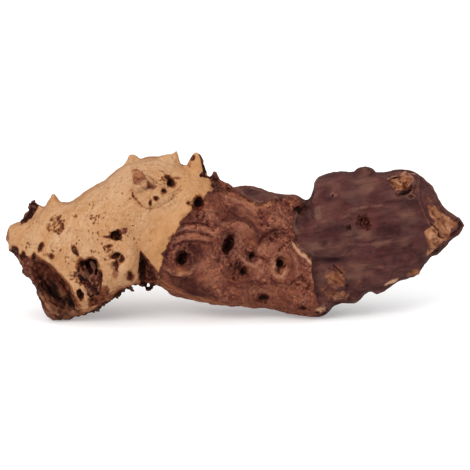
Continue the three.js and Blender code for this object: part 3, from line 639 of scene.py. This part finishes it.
# Growth lines: in rings round the knots of the heartwood, (u, v, reach), and along the edge of the sapwood
RINGED_KNOTS = [
    (-5, 57, 13), (12, 48, 7), (6.5, 37, 8), (34, 43, 10), (21, 17, 9), (-28, 88, 9), (47, 82, 9),
]
BIG_KNOT = (-36, 45)
swirl = soft(u + 0.3 * v, 0, 30)
round_knot = np.hypot(u - BIG_KNOT[0], v - BIG_KNOT[1]) + 6 * lumps
rings = (1 - swirl) * round_knot + swirl * (v + 0.3 * u + 16 * lumps)
ring_share = np.full(count, 1e-9)
ring_sum = np.zeros(count)
for across, up, reach in RINGED_KNOTS:
    far = np.hypot(u - across, v - up)
    weight = np.exp(-((far / reach) ** 2))
    ring_sum += weight * far
    ring_share += weight
blend = np.clip(1.4 * ring_share, 0, 1)
rings = blend * (ring_sum / ring_share + 4 * lumps) + (1 - blend) * rings
rings = front * rings + (1 - front) * (z + 10 * lumps + 0.1 * x)
growth = front * (sap_edge - u + 6 * lumps) + (1 - front) * (z + 12 * lumps - 0.2 * x)

# The worn surface, in millimetres out of the skin: lumps everywhere, then folds, swellings and steps
relief = 0.2 + 1.0 * lumps + 0.4 * crumbs + 0.16 * grit
KNOT_FOLD = [(-78, 98), (-75, 91), (-72, 86), (-63, 83), (-50, 89), (-40, 98)]
relief -= 1.4 * front * near_line(KNOT_FOLD, 2.2)
# Swellings of the pale burl, (u, v, wide, tall, turn, height), and the crease above the notch
SWELLINGS = [
    (-81, 41, 24, 30, 0, 2.2), (-104, 61, 28, 20, 0, 1.3), (-134, 71, 20, 18, 0, 1.6),
    (-60, 97, 38, 28, 20, 1.8), (-150, 61, 18, 16, 0, 1.2), (-57, 58, 12, 44, 22, 1.4),
    (-127, 52, 18, 14, -30, 1.2),
]
CREASE = [(-70.5, 49), (-73, 57), (-79, 66), (-82, 75)]
for across, up, wide, tall, turn, height in SWELLINGS:
    relief += height * front * soft(spot(across, up, wide, tall, turn) + 0.2 * lumps, 0, 0.9)
relief -= 2.0 * front * soft(near_line(CREASE, 6), 0, 1)
# The dark end: the foot of its bulge, a low ridge across it and the torn edge set back behind it
BULGE_FOOT_U = (44, 57, 75, 82, 100)
BULGE_FOOT_V = (50, 47, 46, 48, 66)
END_RIDGE = [(80, 77), (91, 83), (96, 85), (110, 86)]
TORN_EDGE_V = (47, 55, 67, 72, 90)
TORN_EDGE_U = (145, 148, 152.5, 147, 139)
bulge_foot = np.interp(u, BULGE_FOOT_U, BULGE_FOOT_V)
relief += 2.4 * front * end_front * soft(v - bulge_foot, -1.5, 2.5) * soft(-u, -100, -62)
relief += 1.1 * front * near_line(END_RIDGE, 3)
torn_back = soft(u - np.interp(v, TORN_EDGE_V, TORN_EDGE_U), -1, 1.4)
relief -= 2.4 * front * torn_back
# The rings of the heartwood stand out a little, and splinters, cracks and torn wood are rough
RING_STEP = 6
relief += 0.3 * front * (1 - end_front) * (1 - sap_front) * np.sin(2 * math.pi * rings / RING_STEP)
relief += 1.6 * front * within(SPUR, 1) - 1.8 * pocket + 0.7 * pale_and_lit - 0.9 * cracks
relief += 0.9 * dark_wood_and_shade * crumbs + 0.7 * dark_wood_and_shade * grit + 0.8 * tan_and_crease_shade * crumbs * end_front
relief += 2.2 * crumbs * front * within(CRATER, 2) + 0.8 * (torn + foot) * crumbs
relief += 3.0 * front * near_line(UNDER_EDGE, 5) * np.maximum(crumbs, 0)
CREST_CRUST = (-13, 103, 20, 18)
relief += 2.0 * front * soft(spot(*CREST_CRUST), 0, 0.6) * crumbs + 1.8 * front * within(CRUST, 1) * crumbs
# The strands are lumpy and dark, free of the holes and colours of the wood behind them
relief[is_strand] = (1.1 * crumbs + 1.0 * grit)[is_strand]
depth[is_strand] = 0
for values in (sap, pit, deep_shade, stain, tan_and_crease_shade, pale_and_lit, darker_clouds_and_shade):
    values[is_strand] = 0
dark_wood_and_shade[is_strand] = np.clip(0.55 + 0.8 * crumbs + 0.8 * grit, 0.2, 1)[is_strand]
place += facing * ((relief - depth) / 1000)[:, None]
place[:, 2] = np.maximum(place[:, 2], 0)
skin.vertices.foreach_set("co", place.ravel())
skin.update()

# How hollow or proud each spot lies against the skin smoothed round it
# Hollows get dirt and painted shade, proud spots get sand wear and a painted highlight
SMOOTHING_ROUNDS = 25
ends = np.empty(2 * len(skin.edges), int)
skin.edges.foreach_get("vertices", ends)
ends = ends.reshape(-1, 2)
neighbours = np.bincount(ends.ravel(), minlength=count)
even_place = place.copy()
for _ in range(SMOOTHING_ROUNDS):
    total = np.empty_like(even_place)
    for axis in range(3):
        total[:, axis] = np.bincount(ends[:, 0], even_place[ends[:, 1], axis], count)
        total[:, axis] += np.bincount(ends[:, 1], even_place[ends[:, 0], axis], count)
    even_place = 0.5 * even_place + 0.5 * total / neighbours[:, None]
skin.vertex_normals.foreach_get("vector", facing.ravel())
lying = 1000 * np.sum((even_place - place) * facing, axis=1)
hollow_dirt_and_shade = soft(lying, 0.1, 1.3)
proud_wear_and_highlight = soft(-lying, 0.1, 0.9)

MARKS = {
    "sap": sap, "end": end, "pit": pit, "deep_shade": deep_shade, "stain": stain, "tan_and_crease_shade": tan_and_crease_shade, "pale_and_lit": pale_and_lit, "dark_wood_and_shade": dark_wood_and_shade,
    "darker_clouds_and_shade": darker_clouds_and_shade, "lighter_clouds_and_highlights": lighter_clouds_and_highlights, "foot": foot, "foot_black": foot_black, "torn": torn, "rings": rings,
    "growth": growth, "hollow_dirt_and_shade": hollow_dirt_and_shade, "proud_wear_and_highlight": proud_wear_and_highlight, "outline_shade": outline_shade,
}
for name, values in MARKS.items():
    layer = skin.attributes.new(name, "FLOAT", "POINT")
    layer.data.foreach_set("value", values.astype(np.float32))


# Dry, sand-blasted wood: pale sapwood, red-brown burl with dark growth lines, purple-brown split face.
# Its own colours are a share of what shows, because the lights lift them.
LIT = 0.68


def tint(red, green, blue):
    """A colour given as it shows on a screen under these lights, made linear."""
    return tuple(LIT * ((c / 255 + 0.055) / 1.055) ** 2.4 for c in (red, green, blue)) + (1,)


wood = bpy.data.materials.new("driftwood")
wood.use_nodes = True
nodes = wood.node_tree.nodes
links = wood.node_tree.links
shader = nodes["Principled BSDF"]
shader.inputs["Roughness"].default_value = 0.75
shader.inputs["Specular IOR Level"].default_value = 0.05
coordinates = nodes.new("ShaderNodeTexCoord").outputs["Object"]


def mark(name):
    """A mark of the skin, as the material reads it."""
    node = nodes.new("ShaderNodeAttribute")
    node.attribute_name = name
    return node.outputs["Fac"]


def grain(scale, detail, stretch=(1, 1, 1), swirl=0, turn=0):
    """Noise of a scale per metre, stretched along x, y and z after it is turned downwards about y."""
    moved = nodes.new("ShaderNodeMapping")
    moved.vector_type = "TEXTURE"
    moved.inputs["Scale"].default_value = stretch
    moved.inputs["Rotation"].default_value = (0, turn, 0)
    links.new(coordinates, moved.inputs["Vector"])
    node = nodes.new("ShaderNodeTexNoise")
    node.inputs["Scale"].default_value = scale
    node.inputs["Detail"].default_value = detail
    node.inputs["Distortion"].default_value = swirl
    links.new(moved.outputs["Vector"], node.inputs["Vector"])
    return node.outputs["Fac"]


def figure(operation, first, second=0):
    """A sum worked out from two values, each a number or a socket."""
    node = nodes.new("ShaderNodeMath")
    node.operation = operation
    for socket, value in zip(node.inputs, (first, second)):
        if isinstance(value, (int, float)):
            socket.default_value = value
        else:
            links.new(value, socket)
    return node.outputs["Value"]


def ramp(value, *stops):
    """Colours along a value, each with its position."""
    node = nodes.new("ShaderNodeValToRGB")
    band = node.color_ramp
    band.elements[0].position, band.elements[0].color = stops[0]
    band.elements[1].position, band.elements[1].color = stops[-1]
    for position, colour in stops[1:-1]:
        band.elements.new(position).color = colour
    links.new(value, node.inputs["Fac"])
    return node.outputs["Color"]


def share(value, low, high, most=1.0):
    """0 where a value is below low, rising to most where it is above high."""
    node = nodes.new("ShaderNodeMapRange")
    for name, number in (("From Min", low), ("From Max", high), ("To Min", 0), ("To Max", most)):
        node.inputs[name].default_value = number
    links.new(value, node.inputs["Value"])
    return node.outputs["Result"]


def mix(under, over, amount, blend_type="MIX"):
    """One colour laid over another by an amount."""
    node = nodes.new("ShaderNodeMix")
    node.data_type = "RGBA"
    node.blend_type = blend_type
    for name, value in (("A", under), ("B", over), ("Factor", amount)):
        socket = node.inputs[name]
        if isinstance(value, (tuple, int, float)):
            socket.default_value = value
        else:
            links.new(value, socket)
    return node.outputs["Result"]


# Unevenness of the colour, from specks to clouds, and the fibres of the three torn and split faces
speckle = grain(900, 4)
flecks = grain(420, 3, swirl=0.5)
mottle = grain(130, 6, swirl=1.2)
drift = grain(42, 3, swirl=0.6)
blotch = grain(60, 5, (1, 1, 0.62), swirl=0.8)
streaks = grain(45, 8, (1.3, 1, 0.4), swirl=1.4, turn=-0.12)
curl = grain(190, 4, swirl=2.4)
foot_fibres = grain(210, 4, (3.5, 1, 1), swirl=0.5, turn=0.95)
end_fibres = grain(240, 4, (3.5, 1, 1), swirl=0.6, turn=0.6)
slab_fibres = grain(280, 5, (5, 1, 1), swirl=0.7, turn=-0.12)


def growth_bands(name, per_millimetre, warp):
    """Bands of uneven width across the growth lines."""
    node = nodes.new("ShaderNodeTexNoise")
    node.noise_dimensions = "1D"
    node.inputs["Scale"].default_value = 1
    node.inputs["Detail"].default_value = 2.5
    along = figure("MULTIPLY", mark(name), per_millimetre)
    along = figure("ADD", along, figure("MULTIPLY", drift, warp))
    along = figure("ADD", along, figure("MULTIPLY", mottle, 0.4 * warp))
    links.new(along, node.inputs["W"])
    return node.outputs["Fac"]


def from_level(value, level):
    """How far a value lies from a level, 0 along the line where it passes it."""
    return figure("ABSOLUTE", figure("SUBTRACT", value, level))


# Heartwood: curly where it is rough, plain where it is smooth, with dark growth lines
heart_bands = growth_bands("rings", 0.16, 1.8)
heart = ramp(
    curl,
    (0.34, tint(92, 44, 41)), (0.43, tint(122, 67, 53)), (0.5, tint(148, 85, 65)),
    (0.57, tint(166, 100, 76)), (0.68, tint(196, 133, 102)),
)
plain_heart = ramp(
    blotch,
    (0.36, tint(106, 57, 51)), (0.45, tint(132, 74, 57)), (0.55, tint(152, 90, 65)),
    (0.66, tint(176, 113, 81)),
)
smooth_share = figure("MAXIMUM", share(drift, 0.46, 0.56, 0.8), share(mark("lighter_clouds_and_highlights"), 0.1, 0.7, 0.75))
rough_share = figure("SUBTRACT", 1, smooth_share)
heart = mix(heart, plain_heart, smooth_share)
broad_bands = ramp(
    heart_bands,
    (0.33, tint(80, 36, 34)), (0.45, tint(120, 62, 47)), (0.56, tint(150, 85, 60)),
    (0.68, tint(180, 113, 82)),
)
heart = mix(heart, broad_bands, 0.5)
heart = mix(heart, tint(104, 52, 44), share(mark("rings"), 14, 40, 0.3))
heart = mix(heart, tint(76, 38, 36), share(from_level(heart_bands, 0.5), 0.03, 0.008, 0.5))
heart = mix(heart, tint(104, 54, 48), share(mottle, 0.53, 0.67, 0.6))
heart = mix(heart, tint(60, 28, 26), figure("MULTIPLY", rough_share, share(flecks, 0.55, 0.64, 0.6)))
heart = mix(heart, tint(196, 126, 96), figure("MULTIPLY", rough_share, share(flecks, 0.46, 0.37, 0.6)))
for level in (0.44, 0.56):
    heart = mix(heart, tint(74, 31, 32), share(from_level(curl, level), 0.026, 0.008, 0.6))

# Sapwood: faint growth lines, darker flecks, a warmer edge towards the heartwood, painted highlights and
# painted shade along the outline
sap_bands = growth_bands("growth", 0.16, 1.2)
sapwood = ramp(
    sap_bands,
    (0.3, tint(210, 164, 122)), (0.47, tint(203, 153, 109)), (0.5, tint(194, 140, 94)),
    (0.53, tint(205, 156, 113)), (0.75, tint(197, 144, 97)),
)
sapwood = mix(sapwood, tint(190, 134, 88), share(blotch, 0.5, 0.75, 0.6))
sapwood = mix(sapwood, tint(218, 176, 136), share(drift, 0.5, 0.68, 0.4))
lighter_cloud_and_highlight_share = share(mark("lighter_clouds_and_highlights"), 0.0, 1.0)
# Lighter clouds of the sapwood, some of them painted highlights
sapwood = mix(sapwood, tint(220, 182, 146), figure("MULTIPLY", lighter_cloud_and_highlight_share, 0.6))
sapwood = mix(sapwood, tint(180, 124, 82), share(curl, 0.54, 0.68, 0.55))
sapwood = mix(sapwood, tint(222, 180, 142), share(curl, 0.44, 0.34, 0.35))
fleck_share = figure("MULTIPLY", share(flecks, 0.55, 0.68, 0.8), share(mottle, 0.45, 0.6))
sapwood = mix(sapwood, tint(146, 92, 56), fleck_share)
sapwood = mix(sapwood, tint(210, 150, 94), share(mark("growth"), 30, 0, 0.6))
# Painted shade: the sapwood turns brown in the band along the outline
sapwood = mix(sapwood, tint(150, 92, 58), share(mark("outline_shade"), 0.15, 1.0, 0.7))

# The split end: purple-brown, streaked along its layers
end_face = ramp(
    streaks,
    (0.28, tint(58, 30, 31)), (0.43, tint(80, 44, 43)), (0.55, tint(94, 56, 53)),
    (0.68, tint(112, 70, 62)), (0.8, tint(138, 96, 78)),
)
end_face = mix(end_face, tint(88, 62, 56), share(blotch, 0.5, 0.68, 0.55))
end_face = mix(end_face, tint(104, 54, 50), share(drift, 0.52, 0.66, 0.5))
end_face = mix(end_face, tint(62, 36, 38), share(mottle, 0.54, 0.7, 0.6))
end_face = mix(end_face, tint(56, 32, 34), share(slab_fibres, 0.54, 0.66, 0.34))
end_face = mix(end_face, tint(126, 86, 76), share(slab_fibres, 0.44, 0.34, 0.2))


def worn(name, roughness):
    """A painted mark with a broken edge."""
    rough = figure("MULTIPLY", figure("SUBTRACT", mottle, 0.5), roughness)
    rough = figure("ADD", rough, figure("MULTIPLY", figure("SUBTRACT", flecks, 0.5), 0.6 * roughness))
    rough = figure("MULTIPLY", rough, share(mark(name), 0, 0.3))
    return figure("ADD", mark(name), rough)


# The woods laid over each other with their painted shade and highlights, then torn and bared wood, dirt and
# rot, and painted shade in the depths of holes
heart = mix(heart, tint(182, 122, 95), figure("MULTIPLY", lighter_cloud_and_highlight_share, share(curl, 0.3, 0.56, 0.95)))
end_face = mix(end_face, tint(128, 90, 73), figure("MULTIPLY", lighter_cloud_and_highlight_share, share(streaks, 0.3, 0.6)))
colour = mix(heart, end_face, share(worn("end", 0.5), 0.35, 0.65))
# Painted shade: the band along the outline is darkened
colour = mix(colour, (0.5, 0.42, 0.45, 1), share(mark("outline_shade"), 0.0, 1.0, 0.7), "MULTIPLY")
colour = mix(colour, sapwood, share(worn("sap", 0.5), 0.2, 0.8))
# Darker clouds, some of them painted shade
colour = mix(colour, (0.26, 0.2, 0.28, 1), share(worn("darker_clouds_and_shade", 0.3), 0.05, 1.0), "MULTIPLY")
foot_wood = ramp(
    foot_fibres,
    (0.36, tint(34, 16, 13)), (0.44, tint(72, 38, 29)), (0.52, tint(108, 62, 45)),
    (0.66, tint(150, 98, 70)),
)
colour = mix(colour, foot_wood, share(worn("foot", 0.4), 0.3, 0.7))
colour = mix(colour, tint(24, 10, 8), share(worn("foot_black", 0.8), 0.35, 0.85, 0.92))
torn_wood = ramp(
    end_fibres,
    (0.34, tint(96, 52, 38)), (0.44, tint(142, 88, 60)), (0.55, tint(168, 112, 80)),
    (0.7, tint(204, 150, 114)),
)
colour = mix(colour, torn_wood, share(worn("torn", 0.8), 0.2, 0.8))
tan_wood = ramp(end_fibres, (0.36, tint(116, 62, 40)), (0.5, tint(154, 92, 58)), (0.66, tint(192, 130, 90)))
colour = mix(colour, tan_wood, share(worn("tan_and_crease_shade", 1.0), 0.15, 0.9))
pale_and_lit_wood = mix(tint(184, 134, 108), tint(218, 168, 130), share(mark("pale_and_lit"), 0.3, 0.7))
colour = mix(colour, pale_and_lit_wood, share(worn("pale_and_lit", 0.9), 0.15, 0.95))
dark_and_shade_share = worn("dark_wood_and_shade", 0.8)
colour = mix(colour, (0.36, 0.2, 0.15, 1), share(dark_and_shade_share, 0.05, 0.75), "MULTIPLY")
colour = mix(colour, tint(44, 21, 18), share(dark_and_shade_share, 0.5, 0.95, 0.9))
# Sand wear and a painted highlight on proud spots, then dirt and painted shade in hollows
colour = mix(colour, tint(214, 158, 122), share(mark("proud_wear_and_highlight"), 0.2, 1.0, 0.14))
colour = mix(colour, (0.5, 0.27, 0.18, 1), share(mark("hollow_dirt_and_shade"), 0.1, 1.0, 0.75), "MULTIPLY")
colour = mix(colour, (0.42, 0.25, 0.17, 1), share(worn("stain", 1.2), 0.25, 0.75), "MULTIPLY")
decay = figure("ADD", figure("MULTIPLY", mottle, 0.5), figure("MULTIPLY", flecks, 0.5))
rotten = ramp(decay, (0.37, tint(138, 84, 58)), (0.46, tint(92, 46, 34)), (0.54, tint(50, 23, 19)))
colour = mix(colour, rotten, share(worn("pit", 1.0), 0.35, 0.65))
# Painted shade: near-black in the depths of holes and the crater
colour = mix(colour, tint(22, 9, 8), share(worn("deep_shade", 0.9), 0.2, 0.8, 0.95))
links.new(colour, shader.inputs["Base Color"])
# Pores and fine growth lines, under a millimetre deep
bump = nodes.new("ShaderNodeBump")
bump.inputs["Strength"].default_value = 0.7
bump.inputs["Distance"].default_value = 0.0009
height = figure("ADD", figure("MULTIPLY", speckle, 0.7), figure("MULTIPLY", mottle, 1.5))
height = figure("ADD", height, figure("MULTIPLY", flecks, -0.8))
height = figure("ADD", height, figure("MULTIPLY", heart_bands, 0.8))
links.new(height, bump.inputs["Height"])
links.new(bump.outputs["Normal"], shader.inputs["Normal"])
skin.materials.clear()
skin.materials.append(wood)
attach(root, "root")
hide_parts("mopani_root")

# The studio: a white sheet on the floor, wide soft lights above and in front, and a white room.
# The paper glows a little, so that it shows white round the soft shadow.
FLOOR_REACH = 6
floor_mesh = bpy.data.meshes.new("floor")
work = bmesh.new()
bmesh.ops.create_grid(work, x_segments=1, y_segments=1, size=FLOOR_REACH)
work.to_mesh(floor_mesh)
work.free()
floor = bpy.data.objects.new("floor", floor_mesh)
bpy.context.scene.collection.objects.link(floor)
paper = bpy.data.materials.new("white paper")
paper.use_nodes = True
paper_inputs = paper.node_tree.nodes["Principled BSDF"].inputs
paper_inputs["Base Color"].default_value = (0.75, 0.75, 0.75, 1)
paper_inputs["Roughness"].default_value = 0.9
paper_inputs["Emission Color"].default_value = (1, 1, 1, 1)
paper_inputs["Emission Strength"].default_value = 0.3
floor_mesh.materials.append(paper)

OVERHEAD_AIM = Vector((0, 0, 0.05))
KEY_HEADING = Vector((0.4, 0.75, -0.65))
overhead = bpy.data.objects.new("overhead", bpy.data.lights.new("overhead", "AREA"))
overhead.data.size = 1.4
overhead.data.energy = 9
overhead.location = (0.1, -0.4, 1.5)
overhead.rotation_euler = (OVERHEAD_AIM - overhead.location).to_track_quat("-Z", "Y").to_euler()
bpy.context.scene.collection.objects.link(overhead)
key = bpy.data.objects.new("key", bpy.data.lights.new("key", "SUN"))
key.data.energy = 1.8
key.data.angle = math.radians(28)
key.rotation_euler = KEY_HEADING.to_track_quat("-Z", "Y").to_euler()
bpy.context.scene.collection.objects.link(key)
world = bpy.data.worlds.new("white room")
world.use_nodes = True
world_inputs = world.node_tree.nodes["Background"].inputs
world_inputs["Color"].default_value = (1, 1, 1, 1)
world_inputs["Strength"].default_value = 0.75
bpy.context.scene.world = world
bpy.context.scene.view_settings.view_transform = "Standard"
